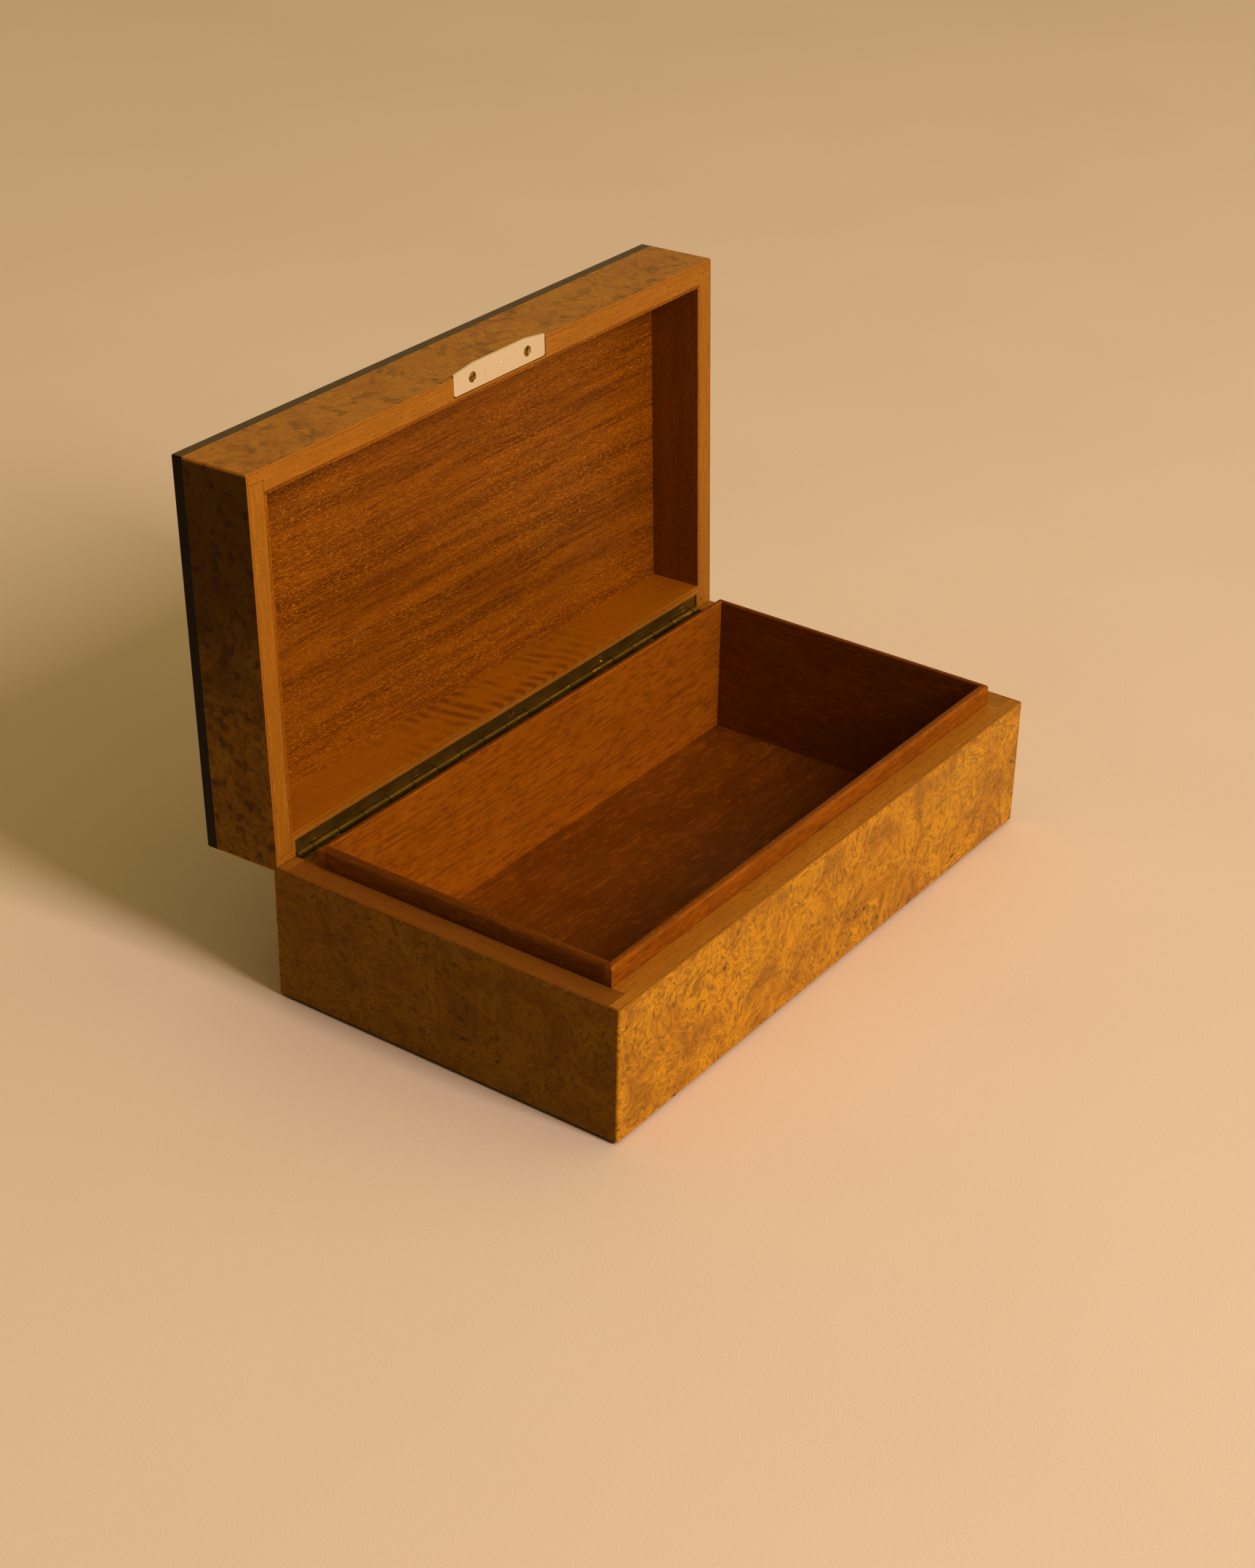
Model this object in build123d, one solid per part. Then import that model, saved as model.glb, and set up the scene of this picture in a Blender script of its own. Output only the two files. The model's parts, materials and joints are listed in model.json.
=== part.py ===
from build123d import *
import os
from math import cos, hypot, radians, sqrt, tan

# Veneered wooden box with a hinged lid, shown open against its hinge stop.
# Units are millimetres. The origin is on the table, under the middle of the base.
# +X runs along the length, the hinge is at +Y and the lifting plate at -Y, and +Z is up.
# Lid pieces are laid out closed, in the same frame, and turned open about the hinge pin at the end.

# ---- overall sizes ----
box_length = 250.0
box_depth = 139.0
base_height = 49.4          # base wood, from its under edge to the rim
lid_height = 31.0           # lid, from its rim to the top face
open_angle = 92.0           # lid angle at the hinge stop
rim_gap = 0.2               # space between the two rims when closed
stop_gap = 0.1              # space left between the two stop bevels when open

# ---- boards and skins ----
veneer = 0.8
base_side_wall = 9.0        # wall thicknesses include the outer veneer
base_front_wall = 9.6
base_back_wall = 12.2
lid_lining = 1.0            # thin lining inside the lid
lid_side_clearance = 0.4    # room between the lid and the raised liner, at the sides,
lid_front_clearance = 0.5   # at the front, where the lid swings in,
lid_back_clearance = 1.1    # and at the back
lap_share = 0.43            # share of a board's thickness that laps over the side board's end
tongue_chamfer = 0.5        # broken corner of the side board inside the lap joint
corner_round = 0.8          # outer edges of base and lid
rim_round = 0.4             # outer edges of the two rims

# ---- base inside ----
felt_thickness = 0.8
felt_inset = 3.0
bottom_thickness = 2.5
bottom_rebate = 4.0         # how far the bottom panel reaches into the walls
floor_lining = 1.2
liner_thickness = 2.5
lip_height = 7.7            # liner above the base rim
liner_outer_round = 1.5
liner_inner_round = 0.6

# ---- lid inside and top ----
lid_depth = 20.6            # rim to the lining panel
lining_panel = 2.0
binding = 4.5               # square black edge binding
top_veneer = 0.8

# ---- piano hinge ----
hinge_end_clearance = 0.5   # between the hinge's ends and the side walls
hinge_setback = 2.0         # pin axis in from the back face
barrel_radius = 1.35
leaf_thickness = 0.8
leaf_width = 5.8            # pin axis to the leaf's inner edge
pin_radius = 0.6
pin_hold_clearance = 0.02   # pin in the base knuckles, which hold it
pin_run_clearance = 0.05    # pin in the lid knuckles, which turn on it
knuckle_pitch = 12.9
first_knuckle = 7.4
last_knuckle_min = 2.0
knuckle_gap = 0.15
barrel_clearance = 0.25     # wood and the other leaf, around the barrel
leaf_edge_clearance = 0.15

# ---- hinge screws ----
hinge_screw_count = 5
hinge_screw_end = 9.1       # from the hinge's ends to its outer screws
hinge_screw_setback = 3.3   # in from the pin axis
hinge_screw_head = 1.65     # radii
hinge_screw_shank = 0.8
hinge_screw_length = 9.0

# ---- thumb plate ----
plate_width = 49.2
plate_inset = 7.0           # front face to the plate's inner edge
plate_thickness = 0.8
plate_end_overhang = 0.8    # beyond the front face at the plate's ends
plate_mid_overhang = 2.2    # beyond the front face along its middle
plate_mid_width = 27.8      # straight middle stretch of its front edge
plate_bend_round = 12.0
plate_corner_round = 0.8
plate_edge_break = 0.15
plate_clearance = 0.25
plate_mark_radius = 0.3     # small centre punch mark
plate_mark_tip = 0.1
plate_mark_depth = 0.2
plate_mark_offset = 0.7
plate_mark_setback = 1.8
plate_screw_spacing = 29.8
plate_screw_setback = 2.6   # in from the front face
plate_screw_sink = 0.15
plate_screw_head = 1.85
plate_screw_shank = 0.9
plate_screw_length = 9.0
plate_slot_turns = (18.0, 84.0)

# ---- screws in general ----
screw_clearance = 0.05
screw_tip = 1.8
slot_width = 0.5
slot_depth = 0.45
first_slot_turn = 20.0      # degrees that the first hinge screw's slot is turned,
slot_turn_step = 37.0       # and each further one more than the last

# ---- cutters ----
hole_relief = 0.5           # how far a hole's cutter stands out of the surface
cut_margin = 1.0            # how far any other cutter runs past what it cuts
same_place = 0.01           # two places nearer than this are one

# ---- levels and places worked out from the sizes above ----
half_length = box_length / 2
half_depth = box_depth / 2
wood_bottom = felt_thickness
base_rim = wood_bottom + base_height
lid_rim = base_rim + rim_gap
lid_top = lid_rim + lid_height
hinge_y = half_depth - hinge_setback
hinge_z = base_rim + rim_gap / 2
hinge_axis = Axis((0, hinge_y, hinge_z), (1, 0, 0))

core_x = half_length - veneer
core_y = half_depth - veneer
base_inner_x = half_length - base_side_wall
base_inner_front = -half_depth + base_front_wall
base_inner_back = half_depth - base_back_wall
lid_inner_x = base_inner_x + lid_side_clearance
lid_inner_front = base_inner_front - lid_front_clearance
lid_inner_back = base_inner_back + lid_back_clearance
hinge_length = 2 * (base_inner_x - hinge_end_clearance)
panel_level = lid_rim + lid_depth
core_top = panel_level + lining_panel
binding_level = lid_top - binding
plate_y = -half_depth + plate_inset


def block(x, y, z):
    """Box from three (low, high) pairs."""
    size = [span[1] - span[0] for span in (x, y, z)]
    middle = [(span[0] + span[1]) / 2 for span in (x, y, z)]
    return Pos(*middle) * Box(*size)


def prism_x(outline, length):
    """Solid along X, centred on X = 0, from (y, z) points."""
    face = make_face(Plane.YZ * Polyline(*outline, close=True))
    return extrude(face, amount=length / 2, both=True)


# ---- outer shapes of base and lid, with their rounded edges and stop bevels ----
def stop_bevel(side):
    """Wedge that bevels the back edge of the base rim (side -1) or the lid rim (side +1)."""
    reach = hinge_setback + cut_margin
    half_angle = radians(open_angle / 2)
    start = side * stop_gap / 2 / cos(half_angle)
    outline = [
        (0, start),
        (reach, start + side * reach * tan(half_angle)),
        (reach, -side * cut_margin),
        (0, -side * cut_margin),
    ]
    return Pos(0, hinge_y, hinge_z) * prism_x(outline, box_length + 2 * cut_margin)


def edges_at(body, level):
    """Edges of a body that lie at one height."""
    return [edge for edge in body.edges() if abs(edge.center().Z - level) < same_place]


def envelope(far_level, rim_level, side):
    """Rounded outer block, its rim edges rounded less, with the stop bevel cut away."""
    z = tuple(sorted((far_level, rim_level)))
    body = block((-half_length, half_length), (-half_depth, half_depth), z)
    body = fillet(list(body.edges().filter_by(Axis.Z)) + edges_at(body, far_level), corner_round)
    body = fillet(edges_at(body, rim_level), rim_round)
    return body - stop_bevel(side)


base_envelope = envelope(wood_bottom, base_rim, -1)
lid_envelope = envelope(lid_top, lid_rim, 1)


# ---- carcass boards with rebated, lapped corners ----
def carcass(x_in, y_front, y_back, z):
    """Front, back, left and right boards between the veneers and an inner rectangle."""
    side = core_x - x_in
    front_lip = (y_front + core_y) * lap_share
    back_lip = (core_y - y_back) * lap_share
    front = block((-core_x, core_x), (-core_y, y_front), z)
    back = block((-core_x, core_x), (y_back, core_y), z)
    boards = {}
    for name, sign in (("left", -1), ("right", 1)):
        x = tuple(sorted((sign * x_in, sign * (x_in + side))))
        tongue = block(x, (-core_y + front_lip, core_y - back_lip), z)
        corners = tongue.edges().filter_by(Axis.Z)
        corners = [edge for edge in corners if abs(abs(edge.center().X) - x_in) < same_place]
        front -= block(x, (-core_y + front_lip, y_front), z)
        back -= block(x, (y_back, core_y - back_lip), z)
        boards[name] = chamfer(corners, tongue_chamfer)
    boards["front"] = front
    boards["back"] = back
    return boards


def skins(z):
    """Outer veneers: front and back lap over the ends of the two sides."""
    return {
        "front": block((-half_length, half_length), (-half_depth, -core_y), z),
        "back": block((-half_length, half_length), (core_y, half_depth), z),
        "left": block((-half_length, -core_x), (-core_y, core_y), z),
        "right": block((core_x, half_length), (-core_y, core_y), z),
    }


# ---- screws ----
def screw_profile(head, shank, length, grow=0.0):
    """Half outline of a countersunk screw whose head is flush with Z = 0 and points down."""
    points = [(0, 0), (head + grow, 0), (shank + grow, shank - head)]
    points += [(shank + grow, -length + screw_tip), (0, -length - grow)]
    return points


def revolved(points):
    """Solid of revolution about Z from (radius, height) points."""
    return revolve(make_face(Plane.XZ * Polyline(*points, close=True)), Axis.Z)


def screw(head, shank, length, turn):
    """Slotted countersunk wood screw, head up."""
    body = revolved(screw_profile(head, shank, length))
    reach = (-head - cut_margin, head + cut_margin)
    slot = block(reach, (-slot_width / 2, slot_width / 2), (-slot_depth, cut_margin))
    return body - Rot(0, 0, turn) * slot


def screw_hole(head, shank, length):
    """Cutter for the countersink and the hole of a screw."""
    points = screw_profile(head, shank, length, screw_clearance)
    points[0] = (0, hole_relief)
    points.insert(1, (head + screw_clearance, hole_relief))
    return revolved(points)


# ---- piano hinge, about its own pin axis: base leaf below, lid leaf above ----
def knuckle_spans():
    """(low, high) X spans of the knuckles, from left to right."""
    cuts = [-hinge_length / 2, -hinge_length / 2 + first_knuckle]
    while cuts[-1] + knuckle_pitch < hinge_length / 2 - last_knuckle_min:
        cuts.append(cuts[-1] + knuckle_pitch)
    cuts.append(hinge_length / 2)
    return list(zip(cuts[:-1], cuts[1:]))


def hinge_leaf(side, own, bore):
    """Leaf rolled into a barrel; side is -1 for the base and +1 for the lid."""
    inside = barrel_radius - leaf_thickness
    meet = -sqrt(barrel_radius ** 2 - inside ** 2)
    roll = ThreePointArc((0, side * barrel_radius), (0, -side * barrel_radius), (meet, side * inside))
    plate = Polyline(
        (meet, side * inside),
        (-leaf_width, side * inside),
        (-leaf_width, side * barrel_radius),
        (0, side * barrel_radius),
    )
    face = make_face(Plane.YZ * (Curve() + roll + plate))
    leaf = extrude(face, amount=hinge_length / 2, both=True)
    leaf -= Rot(0, 90, 0) * Cylinder(bore, hinge_length + 2 * cut_margin)
    reach = barrel_radius + barrel_clearance
    for index, (low, high) in enumerate(knuckle_spans()):
        if index % 2 != own:
            low_cut = low - knuckle_gap if low > -hinge_length / 2 else low - cut_margin
            high_cut = high + knuckle_gap if high < hinge_length / 2 else high + cut_margin
            leaf -= block((low_cut, high_cut), (-reach, reach), (-reach, reach))
    return leaf


def hinge_recess(side):
    """Wood taken away for a leaf and its barrel."""
    half = hinge_length / 2 + leaf_edge_clearance
    seat = tuple(sorted((side * barrel_radius, -side * barrel_radius)))
    seat_cut = block((-half, half), (-leaf_width - leaf_edge_clearance, 0), seat)
    barrel_cut = Rot(0, 90, 0) * Cylinder(barrel_radius + barrel_clearance, 2 * half)
    return seat_cut + barrel_cut


def hinge_screw_places(side):
    """Locations of the hinge screws of one leaf, head outwards."""
    first = -hinge_length / 2 + hinge_screw_end
    pitch = -2 * first / (hinge_screw_count - 1)
    face = side * (barrel_radius - leaf_thickness)
    turn = 0 if side < 0 else 180
    spots = []
    for index in range(hinge_screw_count):
        spots.append(Pos(first + index * pitch, -hinge_screw_setback, face) * Rot(turn, 0, 0))
    return spots


# ---- base ----
def build_base():
    """All base pieces by node name."""
    z_wall = (wood_bottom, base_rim)
    z_bottom = (wood_bottom, wood_bottom + bottom_thickness)
    z_floor = (z_bottom[1], z_bottom[1] + floor_lining)
    z_liner = (z_bottom[1], base_rim + lip_height)
    panel = block(
        (-base_inner_x - bottom_rebate, base_inner_x + bottom_rebate),
        (base_inner_front - bottom_rebate, base_inner_back + bottom_rebate),
        z_bottom,
    )
    pieces = {"base_bottom_panel": panel}
    for name, board in carcass(base_inner_x, base_inner_front, base_inner_back, z_wall).items():
        pieces[f"base_{name}_wall"] = (board - panel) & base_envelope
    for name, skin in skins(z_wall).items():
        pieces[f"base_{name}_veneer"] = skin & base_envelope
    pieces.update(build_liners(z_liner))
    pieces["liner_floor"] = block(
        (-base_inner_x + liner_thickness, base_inner_x - liner_thickness),
        (base_inner_front + liner_thickness, base_inner_back - liner_thickness),
        z_floor,
    )
    pieces["base_felt_pad"] = block(
        (-half_length + felt_inset, half_length - felt_inset),
        (-half_depth + felt_inset, half_depth - felt_inset),
        (0, felt_thickness),
    )
    return pieces


def build_liners(z):
    """Raised liner boards; the front and back ones lap over the ends of the sides."""
    side_y = (base_inner_front + liner_thickness, base_inner_back - liner_thickness)
    long_x = (-base_inner_x, base_inner_x)
    crown = block(long_x, (base_inner_front, base_inner_back), z)
    crown = fillet(crown.faces().sort_by(Axis.Z)[-1].edges(), liner_outer_round)
    boards = {
        "front": (block(long_x, (base_inner_front, side_y[0]), z), Axis.X),
        "back": (block(long_x, (side_y[1], base_inner_back), z), Axis.X),
        "left": (block((-base_inner_x, -base_inner_x + liner_thickness), side_y, z), Axis.Y),
        "right": (block((base_inner_x - liner_thickness, base_inner_x), side_y, z), Axis.Y),
    }
    liners = {}
    for name, (board, run) in boards.items():
        top_edges = board.faces().sort_by(Axis.Z)[-1].edges().filter_by(run)
        inner_edge = min(top_edges, key=distance_from_middle)
        liners[f"liner_{name}"] = fillet(inner_edge, liner_inner_round) & crown
    return liners


def distance_from_middle(edge):
    """Plan distance of an edge's middle from the box's centre."""
    return hypot(edge.center().X, edge.center().Y)


# ---- lid, closed ----
def build_lid():
    """All lid pieces by node name, in the closed position."""
    lining_x = lid_inner_x + lid_lining
    lining_front = lid_inner_front - lid_lining
    lining_back = lid_inner_back + lid_lining
    z_rail = (lid_rim, core_top)
    z_lining = (lid_rim, panel_level)
    pieces = {}
    for name, board in carcass(lining_x, lining_front, lining_back, z_rail).items():
        pieces[f"lid_{name}_rail"] = board & lid_envelope
    for name, skin in skins((lid_rim, binding_level)).items():
        pieces[f"lid_{name}_veneer"] = skin & lid_envelope
    pieces["lid_lining_panel"] = block(
        (-lining_x, lining_x), (lining_front, lining_back), (panel_level, core_top)
    )
    long_x = (-lining_x, lining_x)
    side_y = (lid_inner_front, lid_inner_back)
    pieces["lid_lining_front"] = block(long_x, (lining_front, lid_inner_front), z_lining)
    pieces["lid_lining_back"] = block(long_x, (lid_inner_back, lining_back), z_lining)
    pieces["lid_lining_left"] = block((-lining_x, -lid_inner_x), side_y, z_lining)
    pieces["lid_lining_right"] = block((lid_inner_x, lining_x), side_y, z_lining)
    wide_x = half_length - binding
    wide_y = half_depth - binding
    lower = block((-core_x, core_x), (-core_y, core_y), (core_top, binding_level))
    upper = block((-wide_x, wide_x), (-wide_y, wide_y), (core_top, lid_top - top_veneer))
    pieces["lid_top_panel"] = lower + upper
    pieces["lid_top_veneer"] = block((-wide_x, wide_x), (-wide_y, wide_y), (lid_top - top_veneer, lid_top))
    pieces.update(build_binding(wide_x, wide_y))
    return pieces


def build_binding(wide_x, wide_y):
    """Four mitred bars round the top edge."""
    outer = [(-half_length, -half_depth), (half_length, -half_depth)]
    outer += [(half_length, half_depth), (-half_length, half_depth)]
    inner = [(-wide_x, -wide_y), (wide_x, -wide_y), (wide_x, wide_y), (-wide_x, wide_y)]
    bars = {}
    for index, name in enumerate(("front", "right", "back", "left")):
        following = (index + 1) % len(outer)
        outline = [outer[index], outer[following], inner[following], inner[index]]
        face = make_face(Pos(0, 0, binding_level) * Polyline(*outline, close=True))
        bars[f"lid_binding_{name}"] = extrude(face, amount=binding, dir=(0, 0, 1)) & lid_envelope
    return bars


def add_hinge(base, lid):
    """Hinge leaves, pin and screws, and their seats in the two back boards."""
    place = Pos(0, hinge_y, hinge_z)
    size = (hinge_screw_head, hinge_screw_shank, hinge_screw_length)
    leaves = (
        (base, -1, 1, pin_hold_clearance, "base"),
        (lid, 1, 0, pin_run_clearance, "lid"),
    )
    for pieces, side, own, clearance, name in leaves:
        board = "base_back_wall" if side < 0 else "lid_back_rail"
        leaf = hinge_leaf(side, own, pin_radius + clearance)
        wood = pieces[board] - place * hinge_recess(side)
        skin = pieces[f"{name}_back_veneer"] - place * hinge_recess(side)
        screws = []
        for index, spot in enumerate(hinge_screw_places(side)):
            leaf -= spot * screw_hole(*size)
            wood -= place * spot * screw_hole(*size)
            screws.append(place * spot * screw(*size, first_slot_turn + index * slot_turn_step))
        pieces[board] = wood
        pieces[f"{name}_back_veneer"] = skin
        pieces[f"hinge_{name}_leaf"] = place * leaf
        pieces[f"hinge_{name}_screws"] = Compound(children=screws)
    base["hinge_pin"] = place * Rot(0, 90, 0) * Cylinder(pin_radius, hinge_length)


def corners_at(face, y):
    """Corners of a flat face that lie at one Y."""
    return [point for point in face.vertices() if abs(point.Y - y) < same_place]


def add_thumb_plate(lid):
    """Lifting plate let into the lid's front rim, its screws and its recess."""
    half = plate_width / 2
    bend = plate_mid_width / 2
    y_end = -half_depth - plate_end_overhang
    y_mid = -half_depth - plate_mid_overhang
    outline = [(-half, plate_y), (-half, y_end), (-bend, y_mid)]
    outline += [(bend, y_mid), (half, y_end), (half, plate_y)]
    face = make_face(Polyline(*outline, close=True))
    face = fillet(corners_at(face, y_mid), plate_bend_round)
    face = fillet(corners_at(face, plate_y), plate_corner_round)
    plate = extrude(face, amount=plate_thickness, dir=(0, 0, 1))
    plate = chamfer(plate.faces().sort_by(Axis.Z)[0].edges(), plate_edge_break)
    plate = Pos(0, 0, lid_rim) * plate
    upright = (Align.CENTER, Align.CENTER, Align.MIN)
    mark = Cone(plate_mark_radius, plate_mark_tip, plate_mark_depth, align=upright)
    plate -= Pos(plate_mark_offset, -half_depth + plate_mark_setback, lid_rim) * mark
    recess = block(
        (-half - plate_clearance, half + plate_clearance),
        (-half_depth - cut_margin, plate_y + plate_clearance),
        (lid_rim - cut_margin, lid_rim + plate_thickness),
    )
    rail = lid["lid_front_rail"] - recess
    size = (plate_screw_head, plate_screw_shank, plate_screw_length)
    screws = []
    for sign, turn in zip((-1, 1), plate_slot_turns):
        x = sign * plate_screw_spacing / 2
        spot = Pos(x, -half_depth + plate_screw_setback, lid_rim + plate_screw_sink) * Rot(180, 0, 0)
        plate -= spot * screw_hole(*size)
        rail -= spot * screw_hole(*size)
        screws.append(spot * screw(*size, turn))
    lid["lid_front_rail"] = rail
    lid["lid_front_veneer"] = lid["lid_front_veneer"] - recess
    lid["thumb_plate"] = plate
    lid["thumb_plate_screws"] = Compound(children=screws)


base = build_base()
lid = build_lid()
add_hinge(base, lid)
add_thumb_plate(lid)

os.makedirs("parts", exist_ok=True)
for name, piece in base.items():
    export_step(piece, f"parts/{name}.step")
for name, piece in lid.items():
    export_step(piece.rotate(hinge_axis, -open_angle), f"parts/{name}.step")
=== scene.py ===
import bpy
import json
from math import pi, radians
from mathutils import Matrix, Vector

# Veneered wooden box with a hinged lid, open against its stop: looks, light and camera.
# Scene units are metres. Patterns are worked out in millimetres, in the closed box's frame,
# so that the lid's grain lines up with the base's and turns with the lid.

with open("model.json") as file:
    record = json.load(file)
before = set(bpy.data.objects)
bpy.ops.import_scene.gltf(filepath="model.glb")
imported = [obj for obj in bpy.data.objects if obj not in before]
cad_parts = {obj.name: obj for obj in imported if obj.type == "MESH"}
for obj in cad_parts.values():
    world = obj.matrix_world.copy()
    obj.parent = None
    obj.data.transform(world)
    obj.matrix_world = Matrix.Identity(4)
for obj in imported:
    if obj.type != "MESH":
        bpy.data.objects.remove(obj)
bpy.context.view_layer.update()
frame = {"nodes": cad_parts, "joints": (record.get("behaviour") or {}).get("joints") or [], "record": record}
nodes = frame["nodes"]
lid_members = set(frame["record"]["behaviour"]["bodies"]["lid"])
lid_joint = frame["joints"][0]
hinge = Vector(lid_joint["pos_m"])
open_angle = radians(lid_joint["range_deg"][1])
to_closed = (
    Matrix.Translation(hinge) @ Matrix.Rotation(open_angle, 4, "X") @ Matrix.Translation(-hinge)
)

MM = 0.001
TO_MM = (1000.0, 1000.0, 1000.0)
X, Y, Z = 0, 1, 2

# ---- colours, linear ----
BURL_GOLD = (0.780, 0.470, 0.030)
BURL_LIGHT = (0.610, 0.340, 0.012)
BURL_MID = (0.480, 0.240, 0.008)
BURL_DULL = (0.270, 0.140, 0.010)
BURL_DARK = (0.075, 0.030, 0.003)
BURL_RED = (0.420, 0.175, 0.024)
# painted shade: the burl is darkened towards this colour on the sides that get less light
BURL_PAINTED_SHADE = (0.170, 0.078, 0.001)
BURL_BLACK = (0.045, 0.014, 0.000)
RIM_LIGHT = (0.510, 0.268, 0.034)
RIM_DARK = (0.380, 0.185, 0.018)
# painted shade: the rim wood is darkened towards this colour on the sides that get less light
RIM_PAINTED_SHADE = (0.170, 0.055, 0.008)
EDGE_BROWN = (0.130, 0.040, 0.010)
NICK_PALE = (0.620, 0.420, 0.180)
LINER_LIGHT = (0.330, 0.135, 0.009)
LINER_DARK = (0.200, 0.070, 0.004)
# the liner's light mottle, and also its painted light
LINER_MOTTLE_AND_PAINTED_LIGHT = (0.580, 0.240, 0.008)
LINER_PORE = (0.060, 0.020, 0.002)
LINER_WORN = (0.400, 0.175, 0.020)
PANEL_LIGHT = (0.345, 0.138, 0.004)
# painted light: the lid's linings are lightened towards this colour where more light falls on them
PANEL_PAINTED_LIGHT = (0.480, 0.215, 0.006)
PANEL_DARK = (0.165, 0.053, 0.002)
PANEL_FLECK = (0.580, 0.290, 0.020)
EBONY = (0.010, 0.006, 0.002)
EBONY_WORN = (0.035, 0.022, 0.010)
# painted reflection: the grey that the black edging's faces are lightened towards
EBONY_PAINTED_SHEEN = (0.165, 0.118, 0.060)
BRASS_OLD = (0.480, 0.360, 0.060)
BRASS_DARK = (0.150, 0.105, 0.010)
# rubbed bright brass, also used as painted highlight
BRASS_RUBBED_AND_HIGHLIGHT = (0.620, 0.450, 0.150)
NICKEL = (0.960, 0.900, 0.780)
NICKEL_DULL = (0.800, 0.700, 0.560)
FELT_LIGHT = (0.030, 0.055, 0.032)
FELT_DARK = (0.014, 0.026, 0.016)
FLOOR_LIGHT = (0.800, 0.710, 0.590)
FLOOR_DULL = (0.700, 0.600, 0.480)
AMBER = (1.0, 0.62, 0.22, 1.0)   # tint of the gloss on wood and old brass

# ---- how much each surface's texture stands up, in millimetres ----
BURL_RELIEF = 0.03
RIM_RELIEF = 0.02
LINER_RELIEF = 0.03
PANEL_RELIEF = 0.04
EBONY_RELIEF = 0.02
BRASS_RELIEF = 0.012
NICKEL_RELIEF = 0.004
FELT_RELIEF = 0.15
FLOOR_RELIEF = 0.06

# ---- patterns, in millimetres unless said ----
EYE_SPACING = 6.5                # between the burl's possible eyes
DARK_END_FROM, DARK_END_TO = 55.0, -10.0   # where the lid's left side starts to darken, and is darkest, along Y: darker figure and painted shade
PANEL_SQUEEZE = 0.045            # scale of the lid panel's figure along its grain
PORE_SHIFT = (7.0, 3.0, 5.0)     # takes the dark pores off the flecks' pattern
STRIPE_TURNS = (1.0, 0.15)       # radians of cross stripe for each millimetre of x and z
STRIPE_FADE, STRIPE_FULL = 90.0, 10.0   # from the middle, where the cross stripes end and are full

# ---- how pieces of one kind differ, each from 0 to 1 ----
# How much painted shade darkens and evens each side's burl and rim against the base's front: shade from the
# light, painted into the colour.
BASE_PAINTED_SHADES = {"front": 0.0, "back": 0.1, "left": 0.55, "right": 0.3}
LID_PAINTED_SHADES = {"front": 0.15, "back": 0.1, "left": 0.60, "right": 0.3}
RIM_PAINTED_SHADES = {"front": 0.0, "back": 0.25, "left": 0.50, "right": 0.2}
LID_RIM_PAINTED_SHADE = 0.12
# How red each side of the lid is, and how much it darkens towards one end: partly darker figure, partly
# painted shade.
LID_REDS = {"front": 0.55, "back": 0.2, "left": 0.0, "right": 0.0}
LID_DARK_ENDS_AND_PAINTED_SHADES = {"front": 0.0, "back": 0.0, "left": 0.6, "right": 0.0}
# How much painted light pales the liner's boards against its floor, and the lid's linings against their
# panel.
PAINTED_LIGHT_LINERS = {"front": 0.25, "back": 0.55, "left": 0.0, "right": 0.20}
PAINTED_LIGHT_LININGS = {"front": 0.0, "back": 0.75, "left": 0.3, "right": 0.45}
# How much painted reflection greys each black edging.
PAINTED_SHEEN_EDGINGS = {"front": 0.8, "back": 0.0, "left": 0.0, "right": 0.0}
# How much painted highlight widens each brass piece's rubbed bright patches.
PAINTED_HIGHLIGHT_BRASSES = {
    "hinge_base_leaf": 0.14,
    "hinge_lid_leaf": 0.0,
    "hinge_pin": 0.0,
    "hinge_base_screws": 0.20,
    "hinge_lid_screws": 0.20,
    "thumb_plate_screws": 0.20,
}
GRAIN_RUNS = {"front": X, "back": X, "left": Y, "right": Y}


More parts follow.
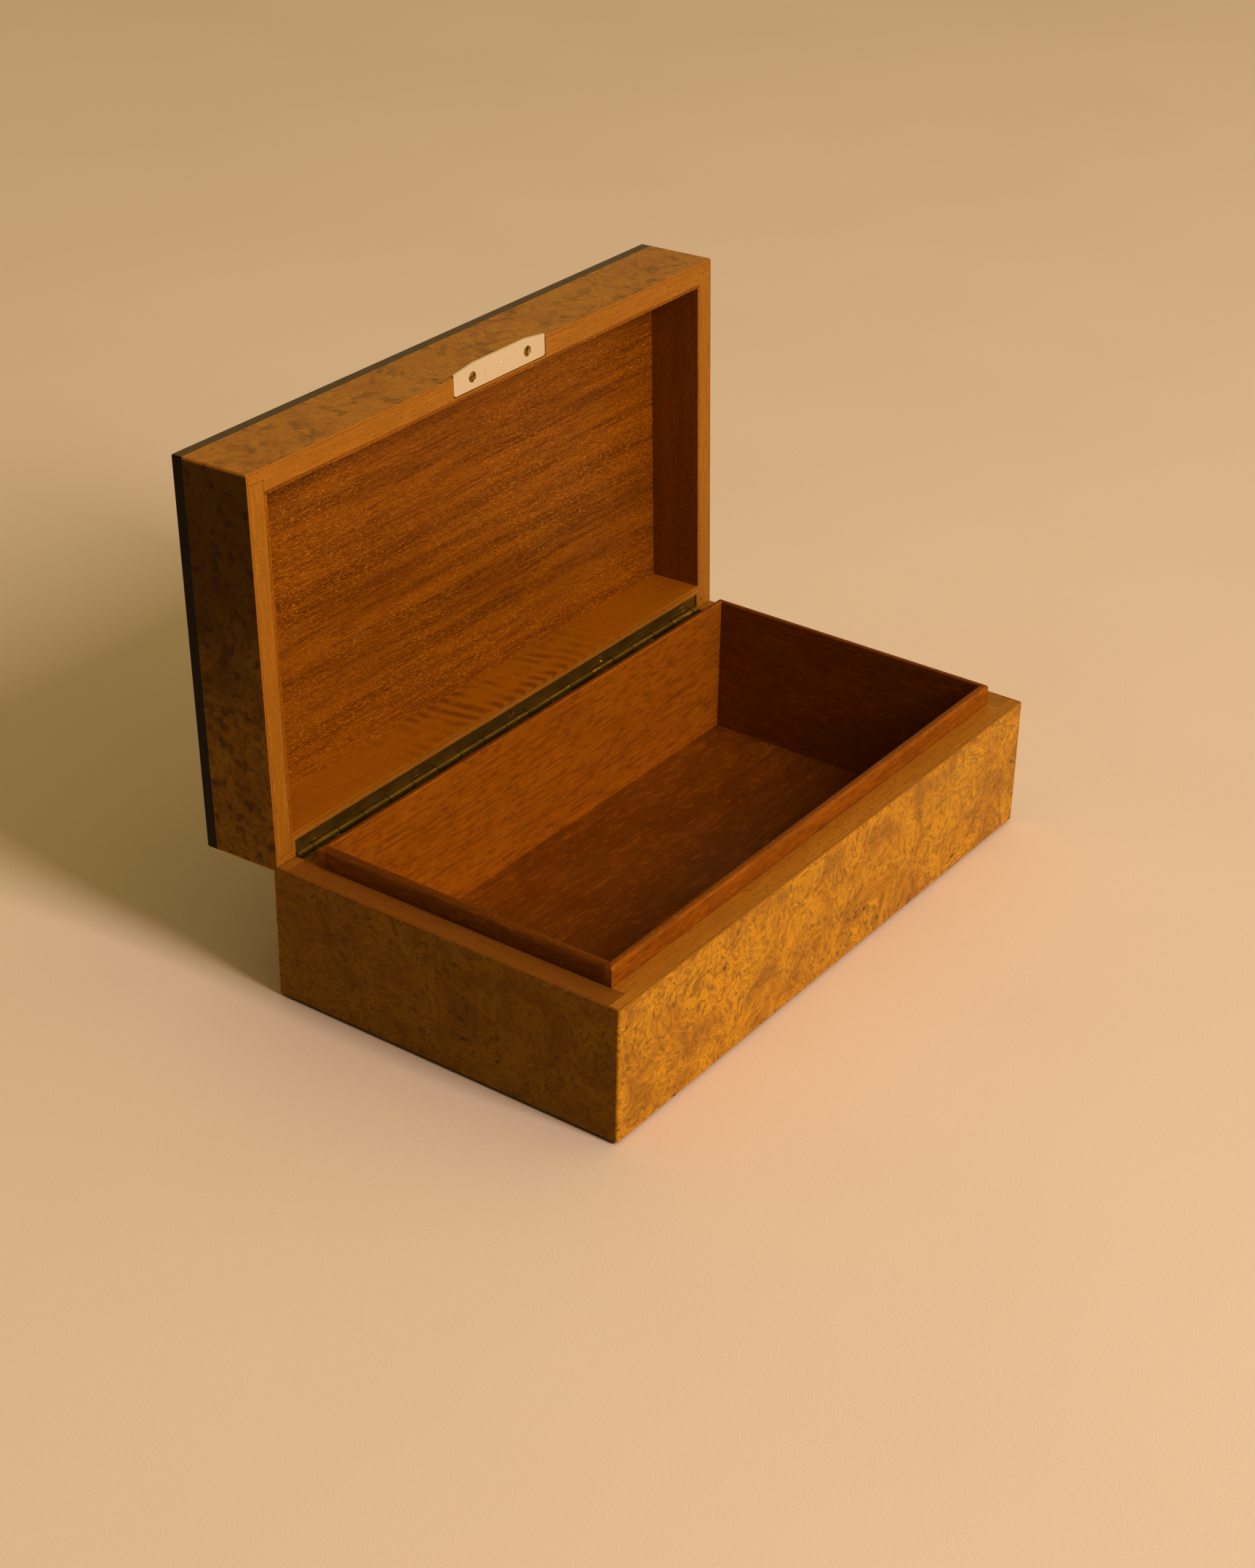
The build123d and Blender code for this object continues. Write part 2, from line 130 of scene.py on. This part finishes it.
class Recipe:
    """One material's node tree, with short ways to add to it."""

    def __init__(self, name, node_name):
        self.material = bpy.data.materials.new(name)
        self.material.use_nodes = True
        self.tree = self.material.node_tree
        self.tree.nodes.clear()
        self.shader = self.tree.nodes.new("ShaderNodeBsdfPrincipled")
        output = self.tree.nodes.new("ShaderNodeOutputMaterial")
        self.tree.links.new(self.shader.outputs[0], output.inputs["Surface"])
        place = self.tree.nodes.new("ShaderNodeTexCoord")
        self.place, self.normal = place.outputs["Object"], place.outputs["Normal"]
        if node_name in lid_members:
            self.place = self.turned(self.place, "POINT", to_closed.translation)
            self.normal = self.turned(self.normal, "NORMAL", (0, 0, 0))
        self.place = self.vector("MULTIPLY", self.place, TO_MM)

    def feed(self, socket, value):
        if isinstance(value, bpy.types.NodeSocket):
            self.tree.links.new(value, socket)
        elif socket.type == "RGBA" and len(value) == 3:
            socket.default_value = (*value, 1.0)
        else:
            socket.default_value = value

    def node(self, kind, inputs, **settings):
        made = self.tree.nodes.new(kind)
        for key, value in settings.items():
            setattr(made, key, value)
        for key, value in inputs.items():
            self.feed(made.inputs[key], value)
        return made

    def turned(self, vector, kind, location):
        """Vector of an opened lid taken back to the closed frame."""
        inputs = {"Vector": vector, "Rotation": (open_angle, 0, 0)}
        if kind == "POINT":
            inputs["Location"] = location
        return self.node("ShaderNodeMapping", inputs, vector_type=kind).outputs[0]

    def vector(self, operation, a, b):
        return self.node("ShaderNodeVectorMath", {0: a, 1: b}, operation=operation).outputs[0]

    def parts(self, vector):
        return self.node("ShaderNodeSeparateXYZ", {0: vector}).outputs

    def math(self, operation, a, b=0.0):
        return self.node("ShaderNodeMath", {0: a, 1: b}, operation=operation).outputs[0]

    def plus(self, a, b):
        return self.math("ADD", a, b)

    def minus(self, a, b):
        return self.math("SUBTRACT", a, b)

    def times(self, a, b):
        return self.math("MULTIPLY", a, b)

    def span(self, value, low, high, out_low=0.0, out_high=1.0):
        """Smooth step of a value from low..high to out_low..out_high."""
        inputs = {0: value, 1: low, 2: high, 3: out_low, 4: out_high}
        return self.node("ShaderNodeMapRange", inputs, interpolation_type="SMOOTHSTEP").outputs[0]

    def noise(self, vector, size, detail=2.0, roughness=0.5, distortion=0.0, output=0):
        """Noise with features of a size in millimetres; output 0 is its value, 1 its colour."""
        inputs = {"Vector": vector, "Scale": 1.0 / size, "Detail": detail,
                  "Roughness": roughness, "Distortion": distortion}
        return self.node("ShaderNodeTexNoise", inputs).outputs[output]

    def squeezed(self, run, length, width):
        """Place scaled so that noise of size 1 gets a length along one axis and a width across it."""
        scale = [1.0 / width] * 3
        scale[run] = 1.0 / length
        return self.vector("MULTIPLY", self.place, tuple(scale))

    def grain(self, run, length, width, detail, roughness=0.5, distortion=0.0):
        """Noise that runs along one axis, with features of a length and a width in millimetres."""
        return self.noise(self.squeezed(run, length, width), 1.0, detail, roughness, distortion)

    def cells(self, vector, size):
        """Distance to the nearest of scattered points, in cells, and that point's random colour."""
        inputs = {"Vector": vector, "Scale": 1.0 / size, "Randomness": 1.0}
        outputs = self.node("ShaderNodeTexVoronoi", inputs).outputs
        return outputs["Distance"], outputs["Color"]

    def drift(self, vector, size, reach):
        """Vector pushed about by noise, by up to about half of reach millimetres each way."""
        push = self.vector("SUBTRACT", self.noise(vector, size, 1.0, output=1), (0.5, 0.5, 0.5))
        return self.vector("ADD", vector, self.vector("MULTIPLY", push, (reach, reach, reach)))

    def mix(self, share, a, b):
        """Colour a with a share of colour b; the node's colour sockets are 6, 7 and output 2."""
        return self.node("ShaderNodeMix", {0: share, 6: a, 7: b}, data_type="RGBA").outputs[2]

    def bump(self, height, depth):
        """Normal from a height of 0 to 1 that stands for a depth in millimetres."""
        return self.node("ShaderNodeBump", {"Height": height, "Distance": depth * MM}).outputs[0]

    def finish(self, colour, roughness, normal, constants):
        """Joins colour, roughness and normal to the shader, and sets its constants."""
        self.feed(self.shader.inputs["Base Color"], colour)
        self.feed(self.shader.inputs["Roughness"], roughness)
        self.feed(self.shader.inputs["Normal"], normal)
        for key, value in constants.items():
            self.shader.inputs[key].default_value = value
        return self.material


def lacquer(coat, gloss):
    """Shader constants of wood under lacquer: a clear top coat, and the amber gloss below it."""
    return {
        "Coat Weight": coat,
        "Coat Roughness": 0.18,
        "Specular IOR Level": gloss,
        "Specular Tint": AMBER,
    }


# ---- places worked out from the frame, in millimetres, closed ----
def closed_box(name):
    """Lowest and highest corner of a node in the closed frame, in millimetres."""
    turn = to_closed if name in lid_members else Matrix.Identity(4)
    corners = [turn @ vertex.co / MM for vertex in nodes[name].data.vertices]
    low = Vector([min(corner[axis] for corner in corners) for axis in (X, Y, Z)])
    high = Vector([max(corner[axis] for corner in corners) for axis in (X, Y, Z)])
    return low, high


def edge_gap(recipe, name, axes):
    """Distance in millimetres from a node's nearest end, along some of its axes."""
    low, high = closed_box(name)
    parts = recipe.parts(recipe.place)
    nearest = None
    for axis in axes:
        middle, half = (low[axis] + high[axis]) / 2, (high[axis] - low[axis]) / 2
        offset = recipe.math("ABSOLUTE", recipe.minus(parts[axis], middle))
        gap = recipe.minus(half, offset)
        nearest = gap if nearest is None else recipe.math("MINIMUM", nearest, gap)
    return nearest


# ---- woods ----
def burl(name, painted_shade, rim_painted_shade, red=0.0, dark_end_and_painted_shade=0.0):
    """Golden burl: curling strokes, clouds and dark eyes.

    Painted shade darkens and evens it, red warms it, and a darker figure with painted shade
    blackens it towards one end; when the rim's painted shade is None it is left without a rim.
    """
    recipe = Recipe(f"{name}_burl", name)
    slow = recipe.drift(recipe.place, 24.0, 22.0)
    curled = recipe.drift(slow, 7.0, 11.0)
    strand = recipe.noise(curled, 3.0, 2.0, 0.55)
    fibre = recipe.noise(curled, 1.0, 3.0, 0.62)
    swirl = recipe.noise(slow, 9.5, 1.0, 0.5)
    cloud = recipe.noise(slow, 15.0, 3.0, 0.55)
    spot = recipe.noise(recipe.drift(recipe.place, 3.0, 2.5), 2.3, 1.0)
    distance, tint = recipe.cells(slow, EYE_SPACING)
    cluster = recipe.span(recipe.noise(recipe.place, 24.0, 1.0), 0.44, 0.58)
    chosen = recipe.times(recipe.span(recipe.parts(tint)[0], 0.45, 0.65), cluster)
    ragged = recipe.plus(distance, recipe.times(recipe.minus(fibre, 0.5), 0.30))
    eye = recipe.times(recipe.span(ragged, 0.17, 0.04), chosen)
    halo = recipe.times(recipe.span(ragged, 0.50, 0.12), chosen)
    phase = recipe.plus(recipe.times(swirl, 40.0), recipe.times(strand, 16.0))
    phase = recipe.plus(phase, recipe.times(distance, 5.0))
    wave = recipe.math("SINE", phase)
    broken = recipe.span(recipe.noise(curled, 5.5, 1.0), 0.42, 0.56)
    dark_line = recipe.times(recipe.span(wave, 0.35, 1.0), broken)
    light_line = recipe.times(recipe.span(wave, -0.2, -1.0), recipe.span(strand, 0.60, 0.44))
    colour = recipe.mix(recipe.span(cloud, 0.36, 0.60), BURL_MID, BURL_LIGHT)
    colour = recipe.mix(recipe.span(strand, 0.54, 0.36, 0.0, 0.55), colour, BURL_DULL)
    colour = recipe.mix(recipe.times(dark_line, 0.5 - 0.5 * red), colour, BURL_DULL)
    colour = recipe.mix(recipe.times(light_line, 0.25), colour, BURL_GOLD)
    colour = recipe.mix(recipe.span(fibre, 0.56, 0.34, 0.0, 0.42 - 0.4 * red), colour, BURL_DULL)
    colour = recipe.mix(recipe.span(cloud, 0.44, 0.32, 0.0, 0.35), colour, BURL_DULL)
    colour = recipe.mix(recipe.times(halo, 0.45), colour, BURL_DULL)
    # painted shade: darker and more even on the sides that get less light
    colour = recipe.mix(painted_shade, colour, BURL_PAINTED_SHADE)
    colour = recipe.mix(red, colour, BURL_RED)
    if red > 0.0:
        soft = recipe.noise(slow, 6.5, 3.0, 0.6)
        colour = recipe.mix(recipe.span(soft, 0.50, 0.30, 0.0, 0.45), colour, BURL_DARK)
    # darker towards the lid's front edge: partly darker figure, partly painted shade
    if dark_end_and_painted_shade > 0.0:
        reach = recipe.plus(recipe.parts(recipe.place)[Y], recipe.times(cloud, 40.0))
        colour = recipe.mix(recipe.span(reach, DARK_END_FROM, DARK_END_TO, 0.0, dark_end_and_painted_shade), colour, BURL_BLACK)
        blot = recipe.noise(recipe.drift(recipe.place, 5.0, 3.0), 4.5, 2.0)
        colour = recipe.mix(recipe.span(blot, 0.50, 0.72, 0.0, 0.55), colour, BURL_BLACK)
    speck = recipe.times(recipe.span(spot, 0.54, 0.76),
                        recipe.span(cluster, 0.0, 1.0, 0.1, 0.45 - 0.2 * red))
    colour = recipe.mix(speck, colour, BURL_DARK)
    colour = recipe.mix(recipe.times(eye, 0.9), colour, BURL_DARK)
    height = recipe.minus(fibre, recipe.times(eye, 0.5))
    roughness = recipe.span(fibre, 0.3, 0.7, 0.40, 0.28)
    if rim_painted_shade is not None:
        colour = veneer_edges(recipe, colour, rim_painted_shade)
    gloss = lacquer(0.0, 0.15) if painted_shade > 0.5 else lacquer(0.2, 0.4)
    return recipe.finish(colour, roughness, recipe.bump(height, BURL_RELIEF), gloss)


def veneer_edges(recipe, colour, painted_shade):
    """Plain rim wood on the narrow rim face, and a dark line with pale nicks along its edge."""
    facing = recipe.math("ABSOLUTE", recipe.parts(recipe.normal)[Z])
    rim = recipe.span(facing, 0.55, 0.85)
    grain = recipe.noise(recipe.place, 1.6, 3.0, 0.6)
    # painted shade on the rim face, as on the veneer below it
    rim_colour = recipe.mix(painted_shade, recipe.mix(grain, RIM_DARK, RIM_LIGHT), RIM_PAINTED_SHADE)
    colour = recipe.mix(rim, colour, rim_colour)
    turn = recipe.times(rim, recipe.minus(1.0, rim))
    line = recipe.span(turn, 0.02, 0.22, 0.0, 0.75)
    colour = recipe.mix(line, colour, EDGE_BROWN)
    worn = recipe.times(recipe.span(turn, 0.05, 0.2),
                       recipe.span(recipe.noise(recipe.place, 1.3, 2.0), 0.66, 0.72))
    return recipe.mix(worn, colour, NICK_PALE)


def rim_wood(name, run, painted_shade):
    """Fine-grained orange-brown board with short flecks, and dark lines along its ends and sides: joint
    lines, and painted shade in the crease against the next part.
    """
    recipe = Recipe(f"{name}_wood", name)
    streak = recipe.grain(run, 14.0, 0.8, 4.0, 0.6, 0.5)
    mottle = recipe.grain(run, 2.2, 0.7, 4.0, 0.65)
    band = recipe.grain(run, 60.0, 6.0, 2.0, 0.5)
    colour = recipe.mix(recipe.span(streak, 0.30, 0.70, 0.2, 1.0), RIM_DARK, RIM_LIGHT)
    colour = recipe.mix(recipe.span(mottle, 0.54, 0.36, 0.0, 0.5), colour, RIM_DARK)
    colour = recipe.mix(recipe.span(band, 0.35, 0.65, 0.0, 0.30), colour, RIM_DARK)
    # painted shade: darker on the sides that get less light
    colour = recipe.mix(painted_shade, colour, RIM_PAINTED_SHADE)
    fleck = recipe.span(mottle, 0.42, 0.30, 0.0, 0.45)
    colour = recipe.mix(fleck, colour, EDGE_BROWN)
    # dark joint lines, and painted shade in the crease against the next part
    joint_and_crease_shade = recipe.span(edge_gap(recipe, name, (X, Y)), 0.22, 0.06, 0.0, 0.8)
    colour = recipe.mix(joint_and_crease_shade, colour, EDGE_BROWN)
    height = recipe.minus(streak, fleck)
    roughness = recipe.span(streak, 0.3, 0.7, 0.50, 0.38)
    return recipe.finish(colour, roughness, recipe.bump(height, RIM_RELIEF), lacquer(0.06, 0.35))


def liner_wood(name, run, pale):
    """Reddish mahogany: soft dark clouds and short fine pores; pale is how much painted light brightens it.
    """
    recipe = Recipe(f"{name}_mahogany", name)
    streak = recipe.grain(run, 40.0, 1.2, 4.0, 0.6, 0.5)
    cloud = recipe.grain(run, 44.0, 20.0, 2.0, 0.5, 0.6)
    pore = recipe.grain(run, 2.6, 0.26, 1.0, 0.5)
    mottle = recipe.grain(run, 5.0, 1.8, 4.0, 0.65)
    colour = recipe.mix(recipe.span(streak, 0.25, 0.75, 0.2, 0.9), LINER_DARK, LINER_LIGHT)
    colour = recipe.mix(recipe.span(cloud, 0.56, 0.38, 0.0, 0.6), colour, LINER_DARK)
    # painted light: the board lightened where more light falls on it
    colour = recipe.mix(pale, colour, LINER_MOTTLE_AND_PAINTED_LIGHT)
    colour = recipe.mix(recipe.span(mottle, 0.50, 0.70, 0.0, 0.35), colour, LINER_MOTTLE_AND_PAINTED_LIGHT)
    colour = recipe.mix(recipe.span(mottle, 0.50, 0.32, 0.0, 0.45), colour, LINER_DARK)
    grain = recipe.grain(run, 22.0, 0.7, 4.0, 0.65)
    colour = recipe.mix(recipe.span(grain, 0.52, 0.34, 0.0, 0.5), colour, LINER_DARK)
    fleck = recipe.span(pore, 0.56, 0.76, 0.0, 0.16)
    colour = recipe.mix(fleck, colour, LINER_PORE)
    if name != "liner_floor":
        top = recipe.span(recipe.parts(recipe.normal)[Z], 0.5, 0.9, 0.0, 0.8)
        colour = recipe.mix(top, colour, LINER_DARK)
        worn = recipe.times(recipe.span(edge_gap(recipe, name, (Z,)), 1.2, 0.1),
                           recipe.span(recipe.noise(recipe.place, 1.6, 3.0), 0.52, 0.70, 0.0, 0.35))
        colour = recipe.mix(worn, colour, LINER_WORN)
    height = recipe.minus(mottle, fleck)
    roughness = recipe.span(streak, 0.3, 0.7, 0.46, 0.34)
    return recipe.finish(colour, roughness, recipe.bump(height, LINER_RELIEF), lacquer(0.06, 0.35))


def lid_wood(name, run, pale, rippled):
    """Open-pored ribbon mahogany with golden flecks; a rippled piece is plainer, with cross stripes."""
    recipe = Recipe(f"{name}_ribbon", name)
    wavy = recipe.drift(recipe.place, 60.0, 2.5)
    scale = [1.0, 1.0, 1.0]
    scale[run] = PANEL_SQUEEZE
    stretched = recipe.vector("MULTIPLY", wavy, tuple(scale))
    ribbon = recipe.noise(stretched, 6.0, 5.0, 0.62)
    streak = recipe.noise(stretched, 0.8, 2.0, 0.6)
    fleck = recipe.grain(run, 1.5, 0.30, 2.0, 0.6)
    pore_place = recipe.vector("ADD", recipe.squeezed(run, 3.0, 0.30), PORE_SHIFT)
    pore = recipe.noise(pore_place, 1.0, 2.0, 0.6)
    area = recipe.grain(run, 55.0, 26.0, 2.0, 0.5)
    colour = recipe.mix(recipe.span(ribbon, 0.34, 0.66, 0.15, 0.95), PANEL_DARK, PANEL_LIGHT)
    colour = recipe.mix(recipe.span(streak, 0.42, 0.64, 0.0, 0.50), colour, PANEL_LIGHT)
    colour = recipe.mix(recipe.span(streak, 0.46, 0.32, 0.0, 0.55), colour, PANEL_DARK)
    # painted light: the lining lightened where more light falls on it
    colour = recipe.mix(pale, colour, PANEL_PAINTED_LIGHT)
    if rippled:
        colour = recipe.mix(cross_stripes(recipe, run), colour, PANEL_DARK)
    strength = 0.3 if rippled else 0.9
    dark = recipe.span(pore, 0.52, 0.70, 0.0, strength)
    bright = recipe.times(recipe.span(fleck, 0.50, 0.68, 0.0, strength),
                          recipe.span(area, 0.30, 0.60, 0.4, 1.0))
    colour = recipe.mix(recipe.times(dark, 0.7), colour, PANEL_DARK)
    colour = recipe.mix(recipe.times(bright, 0.8), colour, PANEL_FLECK)
    height = recipe.minus(streak, dark)
    roughness = recipe.span(streak, 0.3, 0.7, 0.48, 0.36)
    return recipe.finish(colour, roughness, recipe.bump(height, PANEL_RELIEF), lacquer(0.04, 0.3))


def cross_stripes(recipe, run):
    """Soft, uneven stripes across the grain, in patches about the middle of the length."""
    bent = recipe.parts(recipe.drift(recipe.place, 24.0, 11.0))
    phase = recipe.plus(recipe.times(bent[X], STRIPE_TURNS[0]), recipe.times(bent[Z], STRIPE_TURNS[1]))
    off_middle = recipe.math("ABSOLUTE", recipe.parts(recipe.place)[X])
    patch = recipe.span(recipe.grain(run, 16.0, 7.0, 1.0), 0.34, 0.66, 0.0, 0.62)
    shown = recipe.times(patch, recipe.span(off_middle, STRIPE_FADE, STRIPE_FULL))
    return recipe.times(recipe.span(recipe.math("SINE", phase), -0.9, 1.0), shown)


def ebonised(name, run, lightening_with_painted_sheen):
    """Black edging: faint grain, polished, its faces greyed by a given share of painted reflection."""
    recipe = Recipe(f"{name}_black", name)
    grain = recipe.grain(run, 12.0, 0.4, 4.0, 0.6)
    rub_and_sheen = recipe.noise(recipe.place, 9.0, 4.0, 0.65)
    colour = recipe.mix(recipe.span(grain, 0.35, 0.7, 0.0, 0.5), EBONY, EBONY_WORN)
    colour = recipe.mix(recipe.span(rub_and_sheen, 0.58, 0.72, 0.0, 0.6), colour, EBONY_WORN)
    # painted reflection: the faces greyed as if they mirrored the pale surroundings
    colour = recipe.mix(recipe.span(rub_and_sheen, 0.2, 0.6, 0.6 * lightening_with_painted_sheen, lightening_with_painted_sheen), colour, EBONY_PAINTED_SHEEN)
    roughness = recipe.span(rub_and_sheen, 0.3, 0.7, 0.22, 0.36)
    constants = {"Specular IOR Level": 0.30, "Specular Tint": AMBER}
    return recipe.finish(colour, roughness, recipe.bump(grain, EBONY_RELIEF), constants)


# ---- metals and felt ----
def old_brass(name, painted_highlight):
    """Tarnished brass with rubbed bright patches, widened by a given share of painted highlight."""
    recipe = Recipe(f"{name}_brass", name)
    blotch = recipe.grain(X, 9.0, 4.0, 3.0, 0.55)
    fine = recipe.grain(X, 5.0, 0.15, 2.0, 0.6)
    colour = recipe.mix(recipe.span(blotch, 0.35, 0.65, 0.3, 0.65), BRASS_DARK, BRASS_OLD)
    # rubbed bright patches, widened by painted highlight
    lightening_with_painted_sheen = recipe.span(recipe.grain(X, 5.0, 1.2, 3.0, 0.6), 0.66 - painted_highlight, 0.84 - painted_highlight)
    colour = recipe.mix(lightening_with_painted_sheen, colour, BRASS_RUBBED_AND_HIGHLIGHT)
    roughness = recipe.span(blotch, 0.3, 0.7, 0.42, 0.26)
    constants = {"Metallic": 0.75, "Specular Tint": AMBER}
    return recipe.finish(colour, roughness, recipe.bump(fine, BRASS_RELIEF), constants)


def nickel(name):
    """Polished nickel plate with fine scratches and faint handling marks."""
    recipe = Recipe(f"{name}_nickel", name)
    scratch = recipe.grain(X, 9.0, 0.07, 2.0, 0.6)
    smear = recipe.noise(recipe.place, 6.0, 4.0, 0.6)
    roughness = recipe.span(smear, 0.35, 0.70, 0.14, 0.26)
    colour = recipe.mix(recipe.span(smear, 0.55, 0.75, 0.0, 0.15), NICKEL, NICKEL_DULL)
    return recipe.finish(colour, roughness, recipe.bump(scratch, NICKEL_RELIEF), {"Metallic": 1.0})


def felt(name):
    """Dense dark felt with a short nap."""
    recipe = Recipe(f"{name}_felt", name)
    nap = recipe.noise(recipe.place, 0.35, 4.0, 0.7)
    tuft = recipe.noise(recipe.place, 4.0, 3.0, 0.6)
    colour = recipe.mix(recipe.span(nap, 0.3, 0.7), FELT_DARK, FELT_LIGHT)
    colour = recipe.mix(recipe.span(tuft, 0.4, 0.7, 0.0, 0.4), colour, FELT_LIGHT)
    return recipe.finish(colour, 0.95, recipe.bump(nap, FELT_RELIEF), {"Sheen Weight": 0.4})


def dress(name, material):
    """Gives a CAD node its finished material."""
    for place in nodes[name].material_slots:
        place.material = material


def dress_all():
    """Every CAD node's material, by what it is made of and the way its grain runs."""
    for side, run in GRAIN_RUNS.items():
        base, lid, wall, rail = (
            f"base_{side}_veneer", f"lid_{side}_veneer", f"base_{side}_wall", f"lid_{side}_rail"
        )
        liner, lining, edging = f"liner_{side}", f"lid_lining_{side}", f"lid_binding_{side}"
        dress(base, burl(base, BASE_PAINTED_SHADES[side], RIM_PAINTED_SHADES[side]))
        dress(lid, burl(lid, LID_PAINTED_SHADES[side], LID_RIM_PAINTED_SHADE, LID_REDS[side], LID_DARK_ENDS_AND_PAINTED_SHADES[side]))
        dress(wall, rim_wood(wall, run, RIM_PAINTED_SHADES[side]))
        dress(rail, rim_wood(rail, run, LID_RIM_PAINTED_SHADE))
        dress(liner, liner_wood(liner, run, PAINTED_LIGHT_LINERS[side]))
        dress(lining, lid_wood(lining, run, PAINTED_LIGHT_LININGS[side], side == "back"))
        dress(edging, ebonised(edging, run, PAINTED_SHEEN_EDGINGS[side]))
    dress("lid_top_veneer", burl("lid_top_veneer", 0.0, None))
    dress("lid_top_panel", rim_wood("lid_top_panel", X, 0.0))
    dress("base_bottom_panel", rim_wood("base_bottom_panel", X, 0.0))
    dress("liner_floor", liner_wood("liner_floor", X, 0.0))
    dress("lid_lining_panel", lid_wood("lid_lining_panel", X, 0.0, False))
    for name, painted_highlight in PAINTED_HIGHLIGHT_BRASSES.items():
        dress(name, old_brass(name, painted_highlight))
    dress("thumb_plate", nickel("thumb_plate"))
    dress("base_felt_pad", felt("base_felt_pad"))


# ---- stage ----
FLOOR_RADIUS = 3.0
FLOOR_SIDES = 96
CAMERA_PLACE = (-0.7023, -0.4766, 0.5325)
CAMERA_HEADING = radians(54.893)   # from +Y towards +X
CAMERA_PITCH = radians(29.72)      # below the horizon
CAMERA_ROLL = radians(1.126)
CAMERA_LENS = 65.115
CAMERA_SENSOR = 36.0
CAMERA_REACH = (0.01, 20.0)
KEY_TOWARDS = (-0.08, -1.35, 1.0)
KEY_DISTANCE = 3.6
KEY_WIDTH = 0.9
KEY_HEIGHT = 1.5
KEY_POWER = 107.0
KEY_COLOUR = (1.0, 0.84, 0.88)
WORLD_LEFT = (0.05, 0.035, 0.015)   # light from the left, at the horizon
WORLD_RIGHT = (0.62, 0.48, 0.26)    # light from the right, at the horizon
WORLD_ABOVE = (0.72, 0.59, 0.32)    # light from above, most of it from the right
RIGHT_FROM = -1.0                   # x of the direction at which the light from the right begins
ABOVE_FROM = 0.15                   # cosine to ABOVE_TOWARDS at which the light from above begins
ABOVE_TOWARDS = (0.35, -0.1, 0.93)
TONE_GAMMA = 0.7


def add_floor():
    """Pale round floor with a faint paper-like tooth."""
    mesh = bpy.data.meshes.new("floor")
    turns = [Matrix.Rotation(2 * pi * index / FLOOR_SIDES, 3, "Z") for index in range(FLOOR_SIDES)]
    rim = [turn @ Vector((FLOOR_RADIUS, 0, 0)) for turn in turns]
    mesh.from_pydata(rim, [], [list(range(FLOOR_SIDES))])
    floor = bpy.data.objects.new("floor", mesh)
    bpy.context.scene.collection.objects.link(floor)
    recipe = Recipe("floor_paper", "floor")
    tooth = recipe.noise(recipe.place, 0.9, 3.0, 0.6)
    patch = recipe.noise(recipe.place, 140.0, 2.0, 0.5)
    colour = recipe.mix(recipe.span(patch, 0.3, 0.7, 0.0, 0.12), FLOOR_LIGHT, FLOOR_DULL)
    mesh.materials.append(recipe.finish(colour, 0.85, recipe.bump(tooth, FLOOR_RELIEF), {}))


def add_camera():
    """Camera at the chosen viewing angle."""
    data = bpy.data.cameras.new("camera")
    data.lens = CAMERA_LENS
    data.sensor_width = CAMERA_SENSOR
    data.clip_start, data.clip_end = CAMERA_REACH
    camera = bpy.data.objects.new("camera", data)
    turn = Matrix.Rotation(-CAMERA_HEADING, 4, "Z") @ Matrix.Rotation(pi / 2 - CAMERA_PITCH, 4, "X")
    turn = turn @ Matrix.Rotation(CAMERA_ROLL, 4, "Z")
    camera.matrix_world = Matrix.Translation(CAMERA_PLACE) @ turn
    bpy.context.scene.collection.objects.link(camera)
    bpy.context.scene.camera = camera


def add_lamp():
    """One large soft lamp in front of the box."""
    data = bpy.data.lights.new("key", "AREA")
    data.shape = "RECTANGLE"
    data.size = KEY_WIDTH
    data.size_y = KEY_HEIGHT
    data.energy = KEY_POWER
    data.color = KEY_COLOUR
    lamp = bpy.data.objects.new("key", data)
    towards = Vector(KEY_TOWARDS).normalized()
    lamp.location = towards * KEY_DISTANCE
    lamp.rotation_euler = towards.to_track_quat("Z", "Y").to_euler()
    bpy.context.scene.collection.objects.link(lamp)


def add_surround():
    """Warm light from all round, dim from the left."""
    world = bpy.data.worlds.new("surround")
    world.use_nodes = True
    tree = world.node_tree
    direction = tree.nodes.new("ShaderNodeTexCoord").outputs["Generated"]
    split = tree.nodes.new("ShaderNodeSeparateXYZ")
    tree.links.new(direction, split.inputs[0])
    overhead = tree.nodes.new("ShaderNodeVectorMath")
    overhead.operation = "DOT_PRODUCT"
    overhead.inputs[1].default_value = ABOVE_TOWARDS
    tree.links.new(direction, overhead.inputs[0])
    level = brightened(tree, split.outputs["X"], RIGHT_FROM, WORLD_RIGHT)
    level.inputs[6].default_value = (*WORLD_LEFT, 1.0)
    whole = brightened(tree, overhead.outputs["Value"], ABOVE_FROM, WORLD_ABOVE)
    tree.links.new(level.outputs[2], whole.inputs[6])
    tree.links.new(whole.outputs[2], tree.nodes["Background"].inputs["Color"])
    bpy.context.scene.world = world


def brightened(tree, share, lowest, bright):
    """Mix node that goes over to a bright colour as a share goes from its lowest value to 1."""
    ramp = tree.nodes.new("ShaderNodeMapRange")
    ramp.inputs["From Min"].default_value = lowest
    tree.links.new(share, ramp.inputs["Value"])
    blend = tree.nodes.new("ShaderNodeMix")
    blend.data_type = "RGBA"
    tree.links.new(ramp.outputs[0], blend.inputs[0])
    blend.inputs[7].default_value = (*bright, 1.0)
    return blend


def set_tones():
    """Plain view transform, with slightly deepened shadows."""
    settings = bpy.context.scene.view_settings
    settings.view_transform = "Standard"
    settings.look = "None"
    settings.gamma = TONE_GAMMA


add_floor()
add_camera()
add_lamp()
add_surround()
set_tones()
dress_all()
